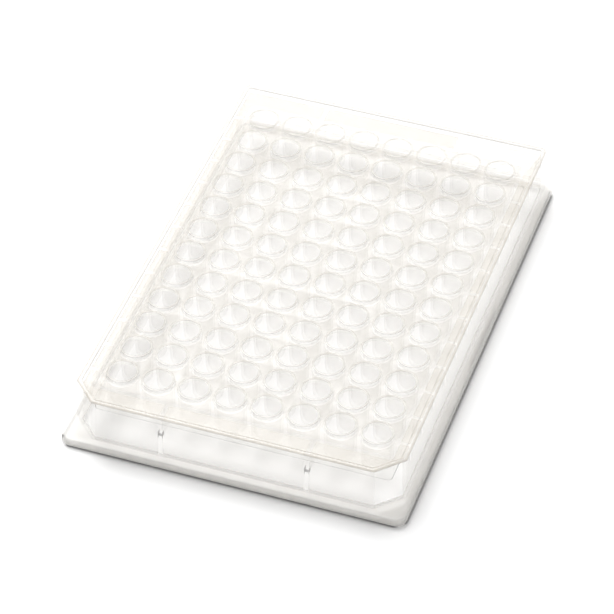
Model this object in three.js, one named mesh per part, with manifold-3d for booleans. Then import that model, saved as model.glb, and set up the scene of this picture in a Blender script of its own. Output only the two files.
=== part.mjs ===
// Well plate: 96 round wells in a plate of the standard footprint, moulded in one piece.
//
// Millimetres, +Z up. The origin is under the middle of the base. The twelve columns of
// wells run along X and the eight rows along Y; the two chamfered corners are at -X.
//
// The plate is made as its mould makes it: an outer block, with a shallow recess over the
// deck, a lower core (the open underside) and one pin for each well's bore. What stands in
// the recess or the core, such as the wells' tubes, the wall round them and the webs, is
// left out of the cut, so each of them grows from the walls that it meets.

import * as THREE from 'three';
import { mergeVertices } from 'three/addons/utils/BufferGeometryUtils.js';
import Module from 'manifold-3d';

// ---- Driving dimensions -------------------------------------------------------------

// Footprint and base flange
const plateLength = 127.76;
const plateWidth = 85.48;
const plateHeight = 14.35;
const flangeHeight = 2.41;
const flangeCornerRadius = 3.2;
const flangeWall = 0.9;
const ledgeThickness = 1.0;

// Thicker stretch of the flange wall on one long side
const padStart = -8.0;
const padEnd = 14.5;
const padWall = 1.65;

// Skirt: the outer wall that stands on the flange's ledge
const ledgeWidth = 1.85;
const skirtLean = 0.35;
const skirtWall = 1.2;
const skirtCornerRadius = 1.6;
const cornerChamfer = 6.0;
const chamferEdgeRadius = 0.6;

// Rim and deck: the deck lies just below the rim, and the wells' mouths stand up from it
const rimWidth = 1.2;
const deckRecess = 0.7;
const deckThickness = 0.9;

// Wells
const wellColumns = 12;
const wellRows = 8;
const wellPitch = 9.0;
const boreRadius = 3.4;
const boreTaper = 0.2;
const tubeWall = 0.55;
const boreDepth = 8.35;
const wellFloor = 1.0;

// Inner wall: a rectangular wall under the deck, all round the wells
const innerWallMarginX = 6.0;
const innerWallMarginY = 5.55;
const innerWallThickness = 1.0;
const innerWallTaper = 0.2;
const innerWallDepth = 8.75;
const innerWallCornerRadius = 1.3;

// Webs below the deck, between the inner wall and the skirt
const endWebSpacing = 36.0;
const endWebThickness = 1.1;
const endWebDepth = 7.15;
const endRibDepth = 0.6;
const sideWebThickness = 0.8;
const sideWebDepth = 6.4;

// Faceting and the overlap that cutting solids run past the faces they open
const wellFacets = 8;
const arcStep = 22.5;
const runOut = 1.0;

// ---- Derived levels and outlines ----------------------------------------------------

const deckTop = plateHeight - deckRecess;
const deckUnderside = deckTop - deckThickness;
const deckMiddle = (deckTop + deckUnderside) / 2;
const ledgeUnderside = flangeHeight - ledgeThickness;
const skirtLeanPerMm = skirtLean / (plateHeight - flangeHeight);

const flange = { halfX: plateLength / 2, halfY: plateWidth / 2, radius: flangeCornerRadius };

/** The skirt's outer outline at height z, chamfered at -X. */
function skirtOutline(z) {
  const inset = ledgeWidth + skirtLeanPerMm * Math.max(z - flangeHeight, 0);
  return {
    halfX: flange.halfX - inset,
    halfY: flange.halfY - inset,
    radius: skirtCornerRadius,
    chamfer: cornerChamfer
  };
}

/** The outline moved inwards by a wall's thickness; the 45 degree chamfer keeps its wall too. */
function insetOutline(outline, wall) {
  const inner = {
    halfX: outline.halfX - wall,
    halfY: outline.halfY - wall,
    radius: Math.max(outline.radius - wall, chamferEdgeRadius / 2)
  };
  if (outline.chamfer) inner.chamfer = outline.chamfer - (2 - Math.SQRT2) * wall;
  return inner;
}

const wellCentres = [];
for (let column = 0; column < wellColumns; column += 1) {
  for (let row = 0; row < wellRows; row += 1) {
    wellCentres.push(new THREE.Vector2(
      (column - (wellColumns - 1) / 2) * wellPitch,
      (row - (wellRows - 1) / 2) * wellPitch
    ));
  }
}
const lastColumnX = wellPitch * (wellColumns - 1) / 2;
const lastRowY = wellPitch * (wellRows - 1) / 2;

/** The inner wall's outer outline at its top, under the deck. */
const innerWall = {
  halfX: lastColumnX + innerWallMarginX,
  halfY: lastRowY + innerWallMarginY,
  radius: innerWallCornerRadius
};

// ---- Geometry to solid and back -----------------------------------------------------

const wasm = await Module();
wasm.setup();

/** A solid from a closed geometry, its shared vertices merged and empty triangles left out. */
function solid(geometry) {
  const bare = new THREE.BufferGeometry();
  bare.setAttribute('position', geometry.getAttribute('position'));
  bare.setIndex(geometry.getIndex());
  const merged = mergeVertices(bare);
  const corners = merged.getIndex().array;
  const triangles = [];
  for (let i = 0; i < corners.length; i += 3) {
    const [a, b, c] = corners.slice(i, i + 3);
    if (a !== b && b !== c && c !== a) triangles.push(a, b, c);
  }
  return new wasm.Manifold(new wasm.Mesh({
    numProp: 3,
    vertProperties: new Float32Array(merged.getAttribute('position').array),
    triVerts: new Uint32Array(triangles)
  }));
}

/** The solids joined into one. */
function join(solids) {
  return solids.reduce((whole, next) => whole.add(next));
}

/** A flat-shaded geometry of a finished solid. */
function geometryOf(body) {
  const mesh = body.getMesh();
  const geometry = new THREE.BufferGeometry();
  geometry.setAttribute('position', new THREE.BufferAttribute(mesh.vertProperties, mesh.numProp));
  geometry.setIndex(new THREE.BufferAttribute(mesh.triVerts, 1));
  const flat = geometry.toNonIndexed();
  flat.computeVertexNormals();
  return flat;
}

// ---- Shapes -------------------------------------------------------------------------

/** Points along an arc, between two angles in degrees. */
function arc(x, y, radius, from, to) {
  const steps = Math.round((to - from) / arcStep);
  return Array.from({ length: steps + 1 }, (_, i) => {
    const angle = THREE.MathUtils.degToRad(from + (to - from) * i / steps);
    return new THREE.Vector2(x + radius * Math.cos(angle), y + radius * Math.sin(angle));
  });
}

/** Points round an outline, anticlockwise: round corners at +X, round or chamfered at -X. */
function outlinePoints({ halfX, halfY, radius, chamfer }) {
  const farCorners = [
    ...arc(halfX - radius, -halfY + radius, radius, -90, 0),
    ...arc(halfX - radius, halfY - radius, radius, 0, 90)
  ];
  if (!chamfer) {
    return [
      ...farCorners,
      ...arc(-halfX + radius, halfY - radius, radius, 90, 180),
      ...arc(-halfX + radius, -halfY + radius, radius, 180, 270)
    ];
  }
  const edge = chamferEdgeRadius;
  const along = chamfer + edge * Math.tan(Math.PI / 8);
  return [
    ...farCorners,
    ...arc(-halfX + along, halfY - edge, edge, 90, 135),
    ...arc(-halfX + edge, halfY - along, edge, 135, 180),
    ...arc(-halfX + edge, -halfY + along, edge, 180, 225),
    ...arc(-halfX + along, -halfY + edge, edge, 225, 270)
  ];
}

/** A closed solid lofted through outlines of the same kind, each given with its height. */
function loft(...levels) {
  const rings = levels.map(([outline]) => outlinePoints(outline));
  const count = rings[0].length;
  const positions = rings.flatMap((ring, k) => ring.flatMap(({ x, y }) => [x, y, levels[k][1]]));
  const index = [];
  for (let k = 0; k < rings.length - 1; k += 1) {
    for (let i = 0; i < count; i += 1) {
      const a = k * count + i;
      const b = k * count + (i + 1) % count;
      index.push(a, b, b + count, a, b + count, a + count);
    }
  }
  const top = (rings.length - 1) * count;
  for (const [a, b, c] of THREE.ShapeUtils.triangulateShape(rings[0], [])) index.push(c, b, a);
  for (const [a, b, c] of THREE.ShapeUtils.triangulateShape(rings.at(-1), [])) {
    index.push(top + a, top + b, top + c);
  }
  const geometry = new THREE.BufferGeometry();
  geometry.setAttribute('position', new THREE.Float32BufferAttribute(positions, 3));
  geometry.setIndex(index);
  return solid(geometry);
}

/** A plate cut to a profile in X and Z, with its thickness along Y centred on y. */
function uprightPlate(profile, thickness, y) {
  const shape = new THREE.Shape(profile.map(([x, z]) => new THREE.Vector2(x, z)));
  const geometry = new THREE.ExtrudeGeometry(shape, { depth: thickness, bevelEnabled: false });
  geometry.rotateX(Math.PI / 2);
  geometry.translate(0, y + thickness / 2, 0);
  return solid(geometry);
}

/** An upright box between two corners. */
function block(low, high) {
  const profile = [[low[0], low[2]], [high[0], low[2]], [high[0], high[2]], [low[0], high[2]]];
  return uprightPlate(profile, high[1] - low[1], (low[1] + high[1]) / 2);
}

/** One revolved solid at every well's centre, from a profile of radius and height. */
function atEveryWell(profile) {
  const points = profile.map(([radius, z]) => new THREE.Vector2(radius, z));
  const turned = new THREE.LatheGeometry(points, wellFacets);
  turned.rotateX(Math.PI / 2);
  return join(wellCentres.map(({ x, y }) => solid(turned.clone().translate(x, y, 0))));
}

// ---- Parts of the moulding ----------------------------------------------------------

/** The whole outside: the flange with the skirt on its ledge. */
function outerBlock() {
  const base = loft([flange, 0], [flange, flangeHeight]);
  const skirt = loft([skirtOutline(0), ledgeUnderside], [skirtOutline(flangeHeight), flangeHeight],
    [skirtOutline(plateHeight), plateHeight]);
  return base.add(skirt);
}

/** The recess over the deck, inside the rim. */
function deckSpace() {
  const inside = insetOutline(skirtOutline(plateHeight), rimWidth);
  return loft([inside, deckTop], [inside, plateHeight + runOut]);
}

/** The lower core: the flange's hollow, then the space inside the skirt up to the deck. */
function lowerCore() {
  const underLedge = insetOutline(flange, flangeWall);
  const inside = (z) => insetOutline(skirtOutline(z), skirtWall);
  return loft([underLedge, -runOut], [underLedge, ledgeUnderside]).add(loft(
    [inside(0), 0], [inside(flangeHeight), flangeHeight], [inside(deckUnderside), deckUnderside]
  ));
}

/** The wall under the deck that goes round all the wells, a little narrower at its foot. */
function wallRoundWells() {
  const bottom = plateHeight - innerWallDepth;
  const foot = insetOutline(innerWall, innerWallTaper);
  const outside = loft([foot, bottom], [innerWall, deckMiddle]);
  return outside.subtract(loft(
    [insetOutline(foot, innerWallThickness), bottom - runOut],
    [insetOutline(innerWall, innerWallThickness), deckMiddle + runOut]
  ));
}

/** The tubes' outsides, closed at the bottom by the well floors. */
function wellTubes() {
  const top = boreRadius + tubeWall;
  const bottomZ = plateHeight - boreDepth - wellFloor;
  const bottom = top - boreTaper;
  return atEveryWell([[0, bottomZ], [bottom, bottomZ], [top, plateHeight], [0, plateHeight]]);
}

/** The bores of the wells, open at the rim. */
function wellBores() {
  const floorZ = plateHeight - boreDepth;
  const bottom = boreRadius - boreTaper;
  return atEveryWell([
    [0, floorZ], [bottom, floorZ], [boreRadius, plateHeight],
    [boreRadius, plateHeight + runOut], [0, plateHeight + runOut]
  ]);
}

/** Two webs under the deck at each end, each with a shallow rib down the skirt's inner face. */
function endWebs() {
  const skirtFace = skirtOutline(0).halfX - skirtWall;
  const webStart = innerWall.halfX - innerWallTaper - innerWallThickness / 2;
  const rimSide = skirtFace + skirtWall / 2;
  const bottom = plateHeight - endWebDepth;
  const profile = [
    [webStart, bottom], [skirtFace - endRibDepth, bottom],
    [skirtFace - endRibDepth, ledgeUnderside], [rimSide, ledgeUnderside],
    [rimSide, deckMiddle], [webStart, deckMiddle]
  ];
  const mirrored = profile.map(([x, z]) => [-x, z]).reverse();
  const webs = [-endWebSpacing / 2, endWebSpacing / 2].flatMap((y) => [
    uprightPlate(profile, endWebThickness, y), uprightPlate(mirrored, endWebThickness, y)
  ]);
  return join(webs);
}

/** A short web under the deck from the inner wall to the skirt, at both ends of each column. */
function sideWebs() {
  const start = innerWall.halfY - innerWallTaper - innerWallThickness / 2;
  const end = skirtOutline(0).halfY - skirtWall / 2;
  const webs = [];
  for (let x = -lastColumnX; x <= lastColumnX + wellPitch / 2; x += wellPitch) {
    for (const [from, to] of [[start, end], [-end, -start]]) {
      webs.push(block(
        [x - sideWebThickness / 2, from, plateHeight - sideWebDepth],
        [x + sideWebThickness / 2, to, deckMiddle]
      ));
    }
  }
  return join(webs);
}

/** The thicker stretch of the flange wall at -Y. */
function flangePad() {
  return block([padStart, -flange.halfY, 0], [padEnd, -flange.halfY + padWall, ledgeUnderside]);
}

// ---- The plate ----------------------------------------------------------------------

function wellPlate() {
  const tubes = wellTubes();
  const underside = lowerCore()
    .subtract(tubes)
    .subtract(wallRoundWells())
    .subtract(endWebs())
    .subtract(sideWebs())
    .subtract(flangePad());
  const overDeck = deckSpace().subtract(tubes);
  const body = outerBlock().subtract(underside).subtract(overDeck).subtract(wellBores());
  const material = new THREE.MeshStandardMaterial({
    color: 0xf1f2ef, roughness: 0.2, metalness: 0, transparent: true, opacity: 0.55
  });
  const mesh = new THREE.Mesh(geometryOf(body), material);
  mesh.name = 'well_plate';
  return mesh;
}

const plate = new THREE.Group();
plate.add(wellPlate());

export default plate;
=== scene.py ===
"""The well plate, dressed: one fine, rounded moulding in clear plastic on a pale floor."""

import math
from typing import NamedTuple

import bmesh
import bpy
from mathutils import Matrix, Vector


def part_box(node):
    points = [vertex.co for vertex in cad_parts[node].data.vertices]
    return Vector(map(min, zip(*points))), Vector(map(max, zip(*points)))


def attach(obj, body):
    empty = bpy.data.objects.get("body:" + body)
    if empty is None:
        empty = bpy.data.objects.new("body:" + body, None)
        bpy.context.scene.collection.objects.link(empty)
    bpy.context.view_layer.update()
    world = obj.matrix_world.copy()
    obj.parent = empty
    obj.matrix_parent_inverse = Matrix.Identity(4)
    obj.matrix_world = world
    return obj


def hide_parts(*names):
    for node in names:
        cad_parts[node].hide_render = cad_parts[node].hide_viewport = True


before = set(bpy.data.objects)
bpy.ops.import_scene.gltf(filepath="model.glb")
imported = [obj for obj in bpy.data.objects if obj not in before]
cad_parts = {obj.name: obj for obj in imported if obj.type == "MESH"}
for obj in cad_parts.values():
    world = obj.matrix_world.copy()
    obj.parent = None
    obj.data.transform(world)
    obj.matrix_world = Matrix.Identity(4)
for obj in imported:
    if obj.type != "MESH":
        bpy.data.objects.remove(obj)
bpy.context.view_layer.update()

# ---- Sizes, in millimetres ------------------------------------------------------------

MM = 0.001  # metres

# The moulding, the same as in the part's source

plate_low, plate_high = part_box("well_plate")
PLATE_LENGTH, PLATE_WIDTH, PLATE_HEIGHT = ((plate_high - plate_low) / MM)[:]

FLANGE_HEIGHT = 2.41
FLANGE_CORNER_RADIUS = 3.2
FLANGE_WALL = 0.9
LEDGE_THICKNESS = 1.0

PAD_START, PAD_END = -8.0, 14.5
PAD_WALL = 1.65

LEDGE_WIDTH = 1.85
SKIRT_LEAN = 0.35
SKIRT_WALL = 1.2
SKIRT_CORNER_RADIUS = 1.6
CORNER_CHAMFER = 6.0
CHAMFER_EDGE_RADIUS = 0.6

RIM_WIDTH = 1.2
DECK_RECESS = 0.7
DECK_THICKNESS = 0.9

WELL_COLUMNS, WELL_ROWS = 12, 8
WELL_PITCH = 9.0
BORE_RADIUS = 3.4
BORE_TAPER = 0.2
TUBE_WALL = 0.55
BORE_DEPTH = 8.35
WELL_FLOOR = 1.0

INNER_WALL_MARGIN_X = 6.0
INNER_WALL_MARGIN_Y = 5.55
INNER_WALL_THICKNESS = 1.0
INNER_WALL_TAPER = 0.2
INNER_WALL_DEPTH = 8.75
INNER_WALL_CORNER_RADIUS = 1.3

END_WEB_SPACING = 36.0
END_WEB_THICKNESS = 1.1
END_WEB_DEPTH = 7.15
END_RIB_DEPTH = 0.6
SIDE_WEB_THICKNESS = 0.8
SIDE_WEB_DEPTH = 6.4

# Roundings, which only this fine model has
FLANGE_EDGE = 0.4
RIM_EDGE = 0.45
RIM_INNER_EDGE = 0.15
DECK_FILLET = 0.2
WALL_EDGE = 0.2
LIP_EDGE = 0.12
TUBE_FILLET = 0.15
WELL_CORNER = 0.35

# Fineness: sides of a well, degrees in a step of a corner, steps in a rounded edge. The
# wells and the corners are finer than in the part's source.
WELL_SEGMENTS = 40
ARC_STEP = 7.5
ROUNDING_STEPS = 3

# How far a cutting solid runs past the face that it opens
RUN_OUT = 1.0

# Faces that meet at more than this angle, in degrees, have a sharp edge between them
SHARP_ANGLE = 32.0
# Corners closer than this, in metres, are made one
WELD_DISTANCE = 1e-7

# How near a face has to lie to a wall to count as part of it
TOLERANCE = 0.05
# A normal's least share along an axis where the face squarely faces that way
SQUARELY = 0.9

DECK_TOP = PLATE_HEIGHT - DECK_RECESS
DECK_UNDERSIDE = DECK_TOP - DECK_THICKNESS
DECK_MIDDLE = (DECK_TOP + DECK_UNDERSIDE) / 2
LEDGE_UNDERSIDE = FLANGE_HEIGHT - LEDGE_THICKNESS
SKIRT_LEAN_PER_MM = SKIRT_LEAN / (PLATE_HEIGHT - FLANGE_HEIGHT)
LAST_COLUMN_X = WELL_PITCH * (WELL_COLUMNS - 1) / 2
LAST_ROW_Y = WELL_PITCH * (WELL_ROWS - 1) / 2

FLANGE = {
    "half_x": PLATE_LENGTH / 2,
    "half_y": PLATE_WIDTH / 2,
    "radius": FLANGE_CORNER_RADIUS,
    "chamfer": 0.0,
}


def inset(outline, wall):
    """The outline moved inwards by a wall's thickness, or outwards by a negative one."""
    chamfer = outline["chamfer"]
    return {
        "half_x": outline["half_x"] - wall,
        "half_y": outline["half_y"] - wall,
        "radius": max(outline["radius"] - wall, CHAMFER_EDGE_RADIUS / 2),
        "chamfer": chamfer - (2 - math.sqrt(2)) * wall if chamfer else 0.0,
    }


def skirt_outline(z):
    """The skirt's outer outline at height z, chamfered at -X."""
    moved_in = LEDGE_WIDTH + SKIRT_LEAN_PER_MM * max(z - FLANGE_HEIGHT, 0)
    return {
        "half_x": FLANGE["half_x"] - moved_in,
        "half_y": FLANGE["half_y"] - moved_in,
        "radius": SKIRT_CORNER_RADIUS,
        "chamfer": CORNER_CHAMFER,
    }


RIM_INSIDE = inset(skirt_outline(PLATE_HEIGHT), RIM_WIDTH)

# The inner wall's outer outline at its top, under the deck
INNER_WALL = {
    "half_x": LAST_COLUMN_X + INNER_WALL_MARGIN_X,
    "half_y": LAST_ROW_Y + INNER_WALL_MARGIN_Y,
    "radius": INNER_WALL_CORNER_RADIUS,
    "chamfer": 0.0,
}

WELL_CENTRES = [
    ((column - (WELL_COLUMNS - 1) / 2) * WELL_PITCH, (row - (WELL_ROWS - 1) / 2) * WELL_PITCH)
    for column in range(WELL_COLUMNS)
    for row in range(WELL_ROWS)
]

# ---- Mesh helpers ---------------------------------------------------------------------


def edit_mesh(mesh, change):
    """Makes a change to a mesh; the change takes it as a bmesh."""
    work = bmesh.new()
    work.from_mesh(mesh)
    change(work)
    work.to_mesh(mesh)
    work.free()


def turn_outwards(work):
    """Turns all the faces of a closed mesh outwards."""
    bmesh.ops.recalc_face_normals(work, faces=work.faces)
    if work.calc_volume(signed=True) < 0:
        bmesh.ops.reverse_faces(work, faces=work.faces)


def weld(work):
    """Makes corners that lie in one place one corner."""
    bmesh.ops.remove_doubles(work, verts=work.verts, dist=WELD_DISTANCE)


def mesh_object(name, points, faces):
    """A new object from points in millimetres, its faces turned outwards."""
    mesh = bpy.data.meshes.new(name)
    mesh.from_pydata([(x * MM, y * MM, z * MM) for x, y, z in points], [], faces)
    edit_mesh(mesh, turn_outwards)
    made = bpy.data.objects.new(name, mesh)
    bpy.context.scene.collection.objects.link(made)
    return made


def arc(x, y, radius, start, end):
    """Points along an arc, between two angles in degrees."""
    steps = round((end - start) / ARC_STEP)
    angles = [math.radians(start + (end - start) * i / steps) for i in range(steps + 1)]
    return [(x + radius * math.cos(a), y + radius * math.sin(a)) for a in angles]


def outline_points(outline):
    """Points round an outline, anticlockwise: round corners at +X, round or chamfered at -X."""
    hx, hy = outline["half_x"], outline["half_y"]
    r, chamfer = outline["radius"], outline["chamfer"]
    points = arc(hx - r, r - hy, r, -90, 0) + arc(hx - r, hy - r, r, 0, 90)
    if not chamfer:
        return points + arc(r - hx, hy - r, r, 90, 180) + arc(r - hx, r - hy, r, 180, 270)
    edge = CHAMFER_EDGE_RADIUS
    along = chamfer + edge * math.tan(math.pi / 8)
    return (
        points
        + arc(along - hx, hy - edge, edge, 90, 135)
        + arc(edge - hx, hy - along, edge, 135, 180)
        + arc(edge - hx, along - hy, edge, 180, 225)
        + arc(along - hx, edge - hy, edge, 225, 270)
    )


def loft(name, levels):
    """A closed solid through outlines of one kind, each given with its height."""
    rings = [[(x, y, z) for x, y in outline_points(outline)] for outline, z in levels]
    count = len(rings[0])
    faces = []
    for level in range(len(rings) - 1):
        for i in range(count):
            a, b = level * count + i, level * count + (i + 1) % count
            faces.append((a, b, b + count, a + count))
    top = (len(rings) - 1) * count
    faces.append(tuple(reversed(range(count))))
    faces.append(tuple(top + i for i in range(count)))
    return mesh_object(name, [point for ring in rings for point in ring], faces)


def rounding(radius, outward_first):
    """Steps round a quarter circle as (inset, rise) pairs, for an edge of that radius."""
    angles = [math.pi / 2 * i / ROUNDING_STEPS for i in range(ROUNDING_STEPS + 1)]
    if outward_first:
        return [(radius * (1 - math.sin(a)), radius * (1 - math.cos(a))) for a in angles]
    return [(radius * (1 - math.cos(a)), radius * math.sin(a)) for a in angles]


def upright_plate(name, profile, thickness, y):
    """A plate cut to a profile in X and Z, with its thickness along Y centred on y."""
    count = len(profile)
    points = [(x, y + side * thickness / 2, z) for side in (-1, 1) for x, z in profile]
    faces = [tuple(range(count)), tuple(reversed(range(count, 2 * count)))]
    faces += [(i, count + i, count + (i + 1) % count, (i + 1) % count) for i in range(count)]
    return mesh_object(name, points, faces)


def block(name, low, high):
    """An upright box between two corners."""
    profile = [(low[0], low[2]), (high[0], low[2]), (high[0], high[2]), (low[0], high[2])]
    return upright_plate(name, profile, high[1] - low[1], (low[1] + high[1]) / 2)


def at_every_well(name, profile):
    """One revolved solid at every well's centre, from a profile of radius and height."""
    points, rings = [], []
    for radius, z in profile:
        if radius == 0:
            rings.append([len(points)] * WELL_SEGMENTS)
            points.append((0, 0, z))
            continue
        rings.append(list(range(len(points), len(points) + WELL_SEGMENTS)))
        for i in range(WELL_SEGMENTS):
            angle = 2 * math.pi * i / WELL_SEGMENTS
            points.append((radius * math.cos(angle), radius * math.sin(angle), z))
    faces = []
    for lower, upper in zip(rings, rings[1:]):
        for i in range(WELL_SEGMENTS):
            j = (i + 1) % WELL_SEGMENTS
            corners = (lower[i], lower[j], upper[j], upper[i])
            faces.append(tuple(dict.fromkeys(corners)))
    turned = mesh_object(name, points, faces)
    together = bmesh.new()
    for x, y in WELL_CENTRES:
        copy = turned.data.copy()
        copy.transform(Matrix.Translation((x * MM, y * MM, 0)))
        together.from_mesh(copy)
        bpy.data.meshes.remove(copy)
    together.to_mesh(turned.data)
    together.free()
    return turned


def combine(whole, others, operation):
    """The whole with the others joined to it or cut from it; the others are used up."""
    for other in others:
        modifier = whole.modifiers.new(operation, "BOOLEAN")
        modifier.operation = operation
        modifier.solver = "MANIFOLD"
        modifier.object = other
        depsgraph = bpy.context.evaluated_depsgraph_get()
        mesh = bpy.data.meshes.new_from_object(whole.evaluated_get(depsgraph))
        whole.modifiers.clear()
        old = whole.data
        whole.data = mesh
        bpy.data.meshes.remove(old)
        bpy.data.objects.remove(other)
    return whole


# ---- Parts of the moulding ------------------------------------------------------------


def outer_block():
    """The whole outside: the flange with the skirt on its ledge."""
    flange_levels = [(inset(FLANGE, i), z) for i, z in rounding(FLANGE_EDGE, True)]
    flange_levels += [
        (inset(FLANGE, i), FLANGE_HEIGHT - FLANGE_EDGE + z)
        for i, z in rounding(FLANGE_EDGE, False)
    ]
    rim_foot = PLATE_HEIGHT - RIM_EDGE
    skirt_levels = [(skirt_outline(0), LEDGE_UNDERSIDE), (skirt_outline(0), FLANGE_HEIGHT)]
    skirt_levels += [
        (inset(skirt_outline(rim_foot), i), rim_foot + z) for i, z in rounding(RIM_EDGE, False)
    ]
    return combine(loft("outer", flange_levels), [loft("skirt", skirt_levels)], "UNION")


def deck_space():
    """The recess over the deck, inside the rim."""
    levels = [(inset(RIM_INSIDE, i), DECK_TOP + z) for i, z in rounding(DECK_FILLET, True)]
    levels += [
        (inset(RIM_INSIDE, -i), PLATE_HEIGHT - RIM_INNER_EDGE + z)
        for i, z in rounding(RIM_INNER_EDGE, False)
    ]
    levels.append((levels[-1][0], PLATE_HEIGHT + RUN_OUT))
    return loft("deck space", levels)


def lower_core():
    """The lower core: the flange's hollow, then the space inside the skirt up to the deck."""
    under_ledge = inset(FLANGE, FLANGE_WALL)
    hollow = loft("core", [(under_ledge, -RUN_OUT), (under_ledge, LEDGE_UNDERSIDE)])
    inside = [
        (inset(skirt_outline(z), SKIRT_WALL), z) for z in (0, FLANGE_HEIGHT, DECK_UNDERSIDE)
    ]
    return combine(hollow, [loft("inside", inside)], "UNION")


def wall_round_wells():
    """The wall under the deck that goes round all the wells, a little narrower at its foot."""
    bottom = PLATE_HEIGHT - INNER_WALL_DEPTH
    foot = inset(INNER_WALL, INNER_WALL_TAPER)
    levels = [(inset(foot, i), bottom + z) for i, z in rounding(WALL_EDGE, True)]
    outside = loft("inner wall", levels + [(INNER_WALL, DECK_MIDDLE)])
    levels = [
        (inset(foot, INNER_WALL_THICKNESS), bottom - RUN_OUT),
        (inset(INNER_WALL, INNER_WALL_THICKNESS), DECK_MIDDLE + RUN_OUT),
    ]
    return combine(outside, [loft("inside", levels)], "DIFFERENCE")


def tube_radius(z):
    """The tube's outer radius at height z."""
    return BORE_RADIUS + TUBE_WALL - BORE_TAPER * (PLATE_HEIGHT - z) / (BORE_DEPTH + WELL_FLOOR)


def well_tubes():
    """The tubes' outsides, closed at the bottom by the well floors."""
    bottom = PLATE_HEIGHT - BORE_DEPTH - WELL_FLOOR
    corner = [
        (tube_radius(bottom + z) - i, bottom + z) for i, z in rounding(WELL_CORNER, True)
    ]
    under_deck = [
        (tube_radius(DECK_UNDERSIDE) + i, DECK_UNDERSIDE - TUBE_FILLET + z)
        for i, z in rounding(TUBE_FILLET, False)
    ]
    on_deck = [
        (tube_radius(DECK_TOP) + i, DECK_TOP + z) for i, z in rounding(TUBE_FILLET, True)
    ]
    lip = [
        (tube_radius(PLATE_HEIGHT) - i, PLATE_HEIGHT - LIP_EDGE + z)
        for i, z in rounding(LIP_EDGE, False)
    ]
    profile = [(0, bottom)] + corner + under_deck + on_deck + lip + [(0, PLATE_HEIGHT)]
    return at_every_well("tubes", profile)


def well_bores():
    """The bores of the wells, open at the rim."""
    floor = PLATE_HEIGHT - BORE_DEPTH
    bottom = BORE_RADIUS - BORE_TAPER
    profile = [(0, floor)]
    profile += [(bottom - i, floor + z) for i, z in rounding(WELL_CORNER, True)]
    profile += [
        (BORE_RADIUS + i, PLATE_HEIGHT - LIP_EDGE + z) for i, z in rounding(LIP_EDGE, False)
    ]
    profile += [(BORE_RADIUS + LIP_EDGE, PLATE_HEIGHT + RUN_OUT), (0, PLATE_HEIGHT + RUN_OUT)]
    return at_every_well("bores", profile)


def end_webs():
    """Two webs under the deck at each end, each with a shallow rib down the skirt's inside."""
    skirt_face = skirt_outline(0)["half_x"] - SKIRT_WALL
    start = INNER_WALL["half_x"] - INNER_WALL_TAPER - INNER_WALL_THICKNESS / 2
    rim_side = skirt_face + SKIRT_WALL / 2
    bottom = PLATE_HEIGHT - END_WEB_DEPTH
    profile = [
        (start, bottom),
        (skirt_face - END_RIB_DEPTH, bottom),
        (skirt_face - END_RIB_DEPTH, LEDGE_UNDERSIDE),
        (rim_side, LEDGE_UNDERSIDE),
        (rim_side, DECK_MIDDLE),
        (start, DECK_MIDDLE),
    ]
    mirrored = [(-x, z) for x, z in reversed(profile)]
    return [
        upright_plate("end web", side, END_WEB_THICKNESS, y)
        for y in (-END_WEB_SPACING / 2, END_WEB_SPACING / 2)
        for side in (profile, mirrored)
    ]


def side_webs():
    """A short web under the deck from the inner wall to the skirt, at both ends of each column."""
    start = INNER_WALL["half_y"] - INNER_WALL_TAPER - INNER_WALL_THICKNESS / 2
    end = skirt_outline(0)["half_y"] - SKIRT_WALL / 2
    webs = []
    for column in range(WELL_COLUMNS):
        x = column * WELL_PITCH - LAST_COLUMN_X
        for low, high in ((start, end), (-end, -start)):
            webs.append(
                block(
                    "side web",
                    (x - SIDE_WEB_THICKNESS / 2, low, PLATE_HEIGHT - SIDE_WEB_DEPTH),
                    (x + SIDE_WEB_THICKNESS / 2, high, DECK_MIDDLE),
                )
            )
    return webs


def flange_pad():
    """The thicker stretch of the flange wall at -Y."""
    edge = -FLANGE["half_y"]
    return block("pad", (PAD_START, edge, 0), (PAD_END, edge + PAD_WALL, LEDGE_UNDERSIDE))


def moulding():
    """The whole plate as one closed mesh."""
    standing = [well_tubes(), wall_round_wells(), *end_webs(), *side_webs(), flange_pad()]
    underside = combine(lower_core(), standing, "DIFFERENCE")
    over_deck = combine(deck_space(), [well_tubes()], "DIFFERENCE")
    plate = combine(outer_block(), [underside, over_deck, well_bores()], "DIFFERENCE")
    edit_mesh(plate.data, weld)
    return plate


# The end of a web, which at -X carries painted shade: how far it reaches in from the
# rib's face, how far down past the web's foot, and its height
WEB_END_REACH = 0.8
WEB_END_DROP = 0.5
WEB_END_HEIGHT = 2.0

WEB_END_X = skirt_outline(0)["half_x"] - SKIRT_WALL - END_RIB_DEPTH - WEB_END_REACH
WEB_END_FOOT = PLATE_HEIGHT - END_WEB_DEPTH - WEB_END_DROP
WEB_END_TOP = WEB_END_FOOT + WEB_END_HEIGHT


def part_web_ends(work):
    """Cuts the end webs' faces round the stretch that carries painted shade at -X."""
    planes = [((side * WEB_END_X, 0, 0), (1, 0, 0)) for side in (-1, 1)]
    planes += [((0, 0, level), (0, 0, 1)) for level in (WEB_END_FOOT, WEB_END_TOP)]
    for place, normal in planes:
        faces = [face for face in work.faces if is_web_face(face)]
        edges = {edge for face in faces for edge in face.edges}
        corners = {vertex for face in faces for vertex in face.verts}
        bmesh.ops.bisect_plane(
            work,
            geom=[*faces, *edges, *corners],
            plane_co=Vector(place) * MM,
            plane_no=normal,
        )


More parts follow.
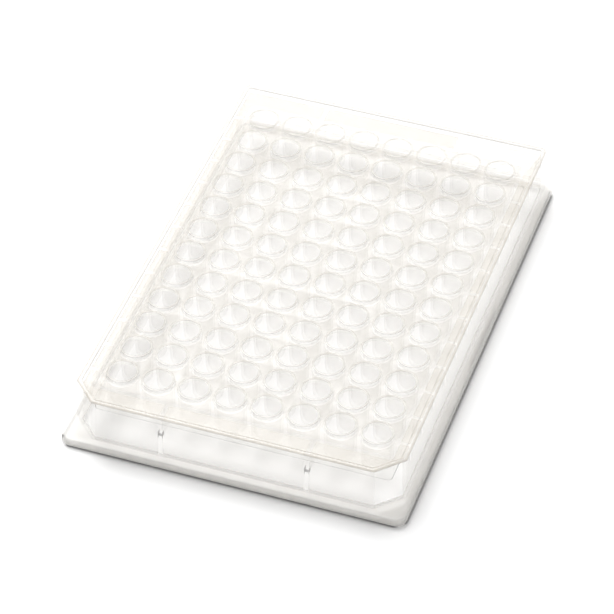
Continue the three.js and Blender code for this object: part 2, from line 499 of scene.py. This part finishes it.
def is_web_face(face):
    """Whether a face is an upright side or the foot of an end web or its rib."""
    x, y, z = face.calc_center_median() / MM
    from_middle = abs(abs(y) - END_WEB_SPACING / 2)
    beside = abs(from_middle - END_WEB_THICKNESS / 2) < TOLERANCE
    at_side = beside and abs(face.normal.y) > SQUARELY
    at_foot = from_middle < END_WEB_THICKNESS / 2 and face.normal.z < -SQUARELY
    start = INNER_WALL["half_x"] - INNER_WALL_THICKNESS
    in_place = start < abs(x) < skirt_outline(0)["half_x"] - SKIRT_WALL + TOLERANCE
    return in_place and LEDGE_UNDERSIDE < z < DECK_UNDERSIDE and (at_side or at_foot)


plate = moulding()
edit_mesh(plate.data, part_web_ends)
plate.name = "well_plate_fine"
plate.data.name = "well_plate_fine"
for polygon in plate.data.polygons:
    polygon.use_smooth = True
plate.data.set_sharp_from_angle(angle=math.radians(SHARP_ANGLE))

# ---- Plastic and painted shade --------------------------------------------------------

PLASTIC_IOR = 1.49

# The roughness wanders by this much either way, with a noise of this scale and detail
HAZE = 0.05
HAZE_SCALE = 90.0
HAZE_DETAIL = 3.0


class FinishAndShade(NamedTuple):
    """How one kind of face looks: the plastic, or paint that stands in for shade."""

    colour: tuple
    cover: float  # how much it hides, seen square on
    edge_cover: float  # how much it hides, seen edge on
    edge_start: float = 0.6  # how far it is turned edge on where the cover starts to rise
    roughness: float = 0.3
    glow: float = 0.0  # how far light spreads inside it, in metres


def clear_plastic(name, finish_and_shade):
    """A clear moulded plastic, straight see-through, that hides more where it is seen edge on."""
    material = bpy.data.materials.new(name)
    material.use_nodes = True
    nodes, links = material.node_tree.nodes, material.node_tree.links
    shader = nodes["Principled BSDF"]
    shader.inputs["IOR"].default_value = PLASTIC_IOR
    shader.inputs["Base Color"].default_value = (*finish_and_shade.colour, 1)
    if finish_and_shade.glow:
        shader.inputs["Subsurface Weight"].default_value = 1.0
        shader.inputs["Subsurface Radius"].default_value = (1, 1, 1)
        shader.inputs["Subsurface Scale"].default_value = finish_and_shade.glow
    weight = nodes.new("ShaderNodeLayerWeight")
    weight.inputs["Blend"].default_value = 0.5
    body = nodes.new("ShaderNodeMapRange")
    body.inputs["From Min"].default_value = finish_and_shade.edge_start
    body.inputs["To Min"].default_value = finish_and_shade.cover
    body.inputs["To Max"].default_value = finish_and_shade.edge_cover
    links.new(weight.outputs["Facing"], body.inputs["Value"])
    links.new(body.outputs["Result"], shader.inputs["Alpha"])
    place = nodes.new("ShaderNodeTexCoord")
    flow = nodes.new("ShaderNodeTexNoise")
    flow.inputs["Scale"].default_value = HAZE_SCALE
    flow.inputs["Detail"].default_value = HAZE_DETAIL
    spread = nodes.new("ShaderNodeMapRange")
    spread.inputs["To Min"].default_value = finish_and_shade.roughness - HAZE
    spread.inputs["To Max"].default_value = finish_and_shade.roughness + HAZE
    links.new(place.outputs["Object"], flow.inputs["Vector"])
    links.new(flow.outputs["Fac"], spread.inputs["Value"])
    links.new(spread.outputs["Result"], shader.inputs["Roughness"])
    return material


# A moulding like this is one plastic all over, but these finishes differ from side to
# side: the near and far ones are shaded and lit copies of one plastic, chosen to match
# one picture, taken from -X and -Y. They stand in for shadow, and probably for
# refraction, which a see-through surface lacks. The near sides, at -X and -Y, away from
# the lamp, are denser and carry painted shade: near-black at the foot of the flange, to
# darken its contact shadow on the floor, and dark at the foot of the inner wall and, at
# -X, on the web ends. The far sides, towards the lamp, are clearer, so that they cast
# less shadow, with a grey painted shade at the foot at +Y and none at +X. Seen from
# elsewhere, the sides don't match. To make them alike, near and far get the same values,
# and the sorting of faces below leaves out the painted shade of the wall's foot and of
# the web ends, and far_end.
FINISHES_AND_SHADE = {
    "bed": FinishAndShade((0.675, 0.64, 0.58), 0.048, 0.18, roughness=0.15),
    "deck": FinishAndShade((0.665, 0.63, 0.57), 0.2, 0.34, roughness=0.2),
    "margin": FinishAndShade((0.63, 0.59, 0.52), 0.38, 0.5, roughness=0.2),
    "rim": FinishAndShade((0.6, 0.56, 0.495), 0.48, 0.6, roughness=0.25),
    # Shaded and lit copies of the skirt: denser near, clearer far to cast less shadow
    "shaded near skirt": FinishAndShade((0.95, 0.92, 0.87), 0.14, 0.28),
    "lit far skirt": FinishAndShade((0.82, 0.795, 0.75), 0.09, 0.25),
    "lips": FinishAndShade((0.55, 0.525, 0.47), 0.37, 0.52, edge_start=0.5),
    "rim edge": FinishAndShade((0.58, 0.52, 0.44), 0.5, 0.65, edge_start=0.5),
    # Painted shade: a dark line at the foot of the inner wall, on the near sides only
    "wall foot painted shade": FinishAndShade((0.12, 0.12, 0.13), 0.75, 0.85, edge_start=0.5),
    # Painted shade: a dark patch on the end webs' ends at -X
    "web end painted shade": FinishAndShade((0.22, 0.22, 0.22), 0.7, 0.8, edge_start=0.5),
    # Shaded and lit copies of the flange: denser near, for a darker contact shadow
    "shaded near flange": FinishAndShade((0.8, 0.78, 0.745), 0.38, 0.55, glow=0.003),
    "lit far flange": FinishAndShade((0.76, 0.74, 0.71), 0.14, 0.28),
    # Painted contact shadow at the flange's foot: grey at +Y, near-black on the near sides
    "far foot painted shade": FinishAndShade((0.4, 0.39, 0.38), 0.5, 0.6),
    "near foot painted shadow": FinishAndShade((0.06, 0.06, 0.06), 0.9, 0.95),
}

plate.data.materials.clear()
for kind, finish_and_shade in FINISHES_AND_SHADE.items():
    plate.data.materials.append(clear_plastic("plastic_" + kind.replace(" ", "_"), finish_and_shade))

# A slanted face's normal has an upright share between these
SLANTED_LEAST, SLANTED_MOST = 0.05, 0.995
# How far the near end's shaded finishes and painted shade reach in past the inner
# wall's outside
NEAR_END_REACH = 3.0


def beyond(outline, x, y):
    """How far a place lies outside an outline's straight sides."""
    return max(abs(x) - outline["half_x"], abs(y) - outline["half_y"])


def beside_web(x, y):
    """Whether a place lies on an end web or on its rib, inside the skirt."""
    from_web = abs(abs(y) - END_WEB_SPACING / 2) - END_WEB_THICKNESS / 2
    return from_web < TOLERANCE and abs(x) < skirt_outline(0)["half_x"] - SKIRT_WALL + TOLERANCE


def is_near(x, y):
    """Whether a place lies on the near sides, at -X and -Y, which carry the painted shade."""
    at_end = x < NEAR_END_REACH - INNER_WALL["half_x"]
    return at_end or (y < 0 and x < INNER_WALL["half_x"])


def finish_and_shade_of(polygon):
    """The finish or painted shade that a face of the plate has, from its place and its slope."""
    x, y, z = polygon.center / MM
    upright_share = abs(polygon.normal.z)
    if z > PLATE_HEIGHT - RIM_EDGE and beyond(INNER_WALL, x, y) > 0:
        faces_out = polygon.normal.x * x + polygon.normal.y * y > 0
        slanted = SLANTED_LEAST < upright_share < SLANTED_MOST
        return "rim edge" if slanted and faces_out else "rim"
    if z > PLATE_HEIGHT - LIP_EDGE - TOLERANCE:
        return "lips"
    near = is_near(x, y)
    wall_foot = PLATE_HEIGHT - INNER_WALL_DEPTH
    in_wall = -INNER_WALL_THICKNESS - INNER_WALL_TAPER - TOLERANCE < beyond(INNER_WALL, x, y) < 0
    # Painted shade: a dark line at the foot of the inner wall, on the near sides only
    if near and in_wall and wall_foot - TOLERANCE < z < wall_foot + WALL_EDGE:
        return "wall foot painted shade"
    # Painted shade: a dark patch on the end webs' ends at -X
    if beside_web(x, y) and x < -WEB_END_X and WEB_END_FOOT < z < WEB_END_TOP:
        return "web end painted shade"
    # Painted contact shadow at the flange's foot: near-black near, grey at +Y, none at +X
    far_end = x > INNER_WALL["half_x"]
    if z < FLANGE_EDGE and beyond(FLANGE, x, y) > -FLANGE_EDGE and not far_end:
        return "near foot painted shadow" if near else "far foot painted shade"
    # Shaded copy of the flange on the near sides, lit copy on the far sides
    if z < FLANGE_HEIGHT + TOLERANCE:
        return "shaded near flange" if near else "lit far flange"
    if DECK_UNDERSIDE - TOLERANCE < z < DECK_TOP + TOLERANCE and upright_share > SQUARELY:
        return "margin" if z < DECK_MIDDLE and beyond(INNER_WALL, x, y) > 0 else "deck"
    # Shaded copy of the skirt on the near sides, lit copy on the far sides
    if beyond(skirt_outline(z), x, y) > -SKIRT_WALL - 2 * TOLERANCE:
        return "shaded near skirt" if near else "lit far skirt"
    return "bed"


KINDS = list(FINISHES_AND_SHADE)
for polygon in plate.data.polygons:
    polygon.material_index = KINDS.index(finish_and_shade_of(polygon))

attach(plate, "root")
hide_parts("well_plate")

# ---- Floor, light and camera ----------------------------------------------------------

FLOOR_REACH = 3000.0
FLOOR_GREY = 0.86
FLOOR_ROUGHNESS = 0.9
FLOOR_EMISSION = 0.03

floor = mesh_object(
    "floor",
    [(x * FLOOR_REACH, y * FLOOR_REACH, 0) for x, y in ((-1, -1), (1, -1), (1, 1), (-1, 1))],
    [(0, 1, 2, 3)],
)
paper = bpy.data.materials.new("pale_floor")
paper.use_nodes = True
paper_shader = paper.node_tree.nodes["Principled BSDF"]
paper_shader.inputs["Base Color"].default_value = (FLOOR_GREY, FLOOR_GREY, FLOOR_GREY, 1)
paper_shader.inputs["Roughness"].default_value = FLOOR_ROUGHNESS
paper_shader.inputs["Emission Color"].default_value = (1, 1, 1, 1)
paper_shader.inputs["Emission Strength"].default_value = FLOOR_EMISSION
floor.data.materials.append(paper)

# Strength of the studio's white all round, at the horizon and overhead
HORIZON_LIGHT = 0.5
OVERHEAD_LIGHT = 0.2

# The one lamp, high up towards +X and +Y: place and size in millimetres, power in watts
KEY_PLACE = (360, 302, 883)
KEY_SIZE = 500
KEY_POWER = 13.5

world = bpy.data.worlds.new("studio")
world.use_nodes = True
bpy.context.scene.world = world
sky_nodes, sky_links = world.node_tree.nodes, world.node_tree.links
sky = sky_nodes["Background"]
sky.inputs["Color"].default_value = (1, 1, 1, 1)
direction = sky_nodes.new("ShaderNodeTexCoord")
height = sky_nodes.new("ShaderNodeSeparateXYZ")
fall = sky_nodes.new("ShaderNodeMapRange")
fall.interpolation_type = "SMOOTHSTEP"
fall.inputs["To Min"].default_value = HORIZON_LIGHT
fall.inputs["To Max"].default_value = OVERHEAD_LIGHT
sky_links.new(direction.outputs["Generated"], height.inputs["Vector"])
sky_links.new(height.outputs["Z"], fall.inputs["Value"])
sky_links.new(fall.outputs["Result"], sky.inputs["Strength"])


def soft_light(name, place, size, power):
    """A square area light at a place in millimetres, aimed at the middle of the base."""
    lamp = bpy.data.lights.new(name, "AREA")
    lamp.size = size * MM
    lamp.energy = power
    held = bpy.data.objects.new(name, lamp)
    bpy.context.scene.collection.objects.link(held)
    held.location = Vector(place) * MM
    held.rotation_euler = (-held.location).to_track_quat("-Z", "Y").to_euler()


soft_light("key", KEY_PLACE, KEY_SIZE, KEY_POWER)

# The camera, fitted to the picture: its place and aim, its lens and its sensor
CAMERA_PLACE = (-537.5, -182.7, 521.6)
CAMERA_AIM = (-7.13, 0.31, 7.18)
LENS_LENGTH = 183.6
SENSOR_WIDTH = 36.0

# Light goes through many clear walls before it reaches the floor
LIGHT_BOUNCES = 32
GLOSSY_BOUNCES = 16
CLEAR_WALLS = 48

lens = bpy.data.cameras.new("camera")
lens.lens = LENS_LENGTH
lens.sensor_width = SENSOR_WIDTH
lens.clip_start = 0.01
lens.clip_end = 20.0
camera = bpy.data.objects.new("camera", lens)
bpy.context.scene.collection.objects.link(camera)
camera.location = Vector(CAMERA_PLACE) * MM
look = Vector(CAMERA_AIM) - Vector(CAMERA_PLACE)
camera.rotation_euler = look.to_track_quat("-Z", "Y").to_euler()

scene = bpy.context.scene
scene.camera = camera
scene.view_settings.view_transform = "Standard"
scene.cycles.max_bounces = LIGHT_BOUNCES
scene.cycles.diffuse_bounces = LIGHT_BOUNCES
scene.cycles.glossy_bounces = GLOSSY_BOUNCES
scene.cycles.transmission_bounces = LIGHT_BOUNCES
scene.cycles.transparent_max_bounces = CLEAR_WALLS
